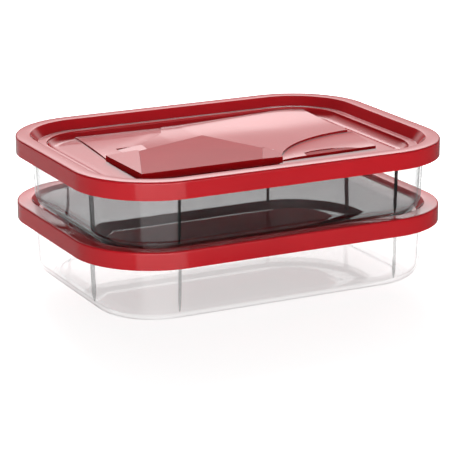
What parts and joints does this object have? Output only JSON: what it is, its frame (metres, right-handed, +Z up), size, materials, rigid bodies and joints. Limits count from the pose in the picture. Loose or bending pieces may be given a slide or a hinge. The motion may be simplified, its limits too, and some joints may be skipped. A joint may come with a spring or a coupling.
{
  "type": "lunch box",
  "caption": "Stacking lunch box of shallow clear rectangular trays with rounded corners, closed by push-on lids with a recessed top that takes the foot of the next tray.",
  "frame": {"origin": "centre of the lower tray's foot, on the surface the box stands on", "axes": "+X along the length, +Y to the back, +Z up"},
  "size_m": [0.25, 0.189, 0.0916],
  "materials": {
    "clear_plastic": "clear moulded polypropylene, glossy",
    "red_plastic": "glossy red moulded polypropylene"
  },
  "bodies": {
    "lower_tray": {"lower_tray": "clear_plastic"},
    "lower_lid": {"lower_lid": "red_plastic"},
    "upper_tray": {"upper_tray": "clear_plastic"},
    "upper_lid": {"upper_lid": "red_plastic"}
  },
  "joints": [
    {"name": "lower_lid_lift", "type": "slide", "parent": "lower_tray", "child": "lower_lid", "axis": [0, 0, 1], "range_m": [0, 0.04]},
    {"name": "upper_tray_lift", "type": "slide", "parent": "lower_lid", "child": "upper_tray", "axis": [0, 0, 1], "range_m": [0, 0.03]},
    {"name": "upper_lid_lift", "type": "slide", "parent": "upper_tray", "child": "upper_lid", "axis": [0, 0, 1], "range_m": [0, 0.04]}
  ]
}
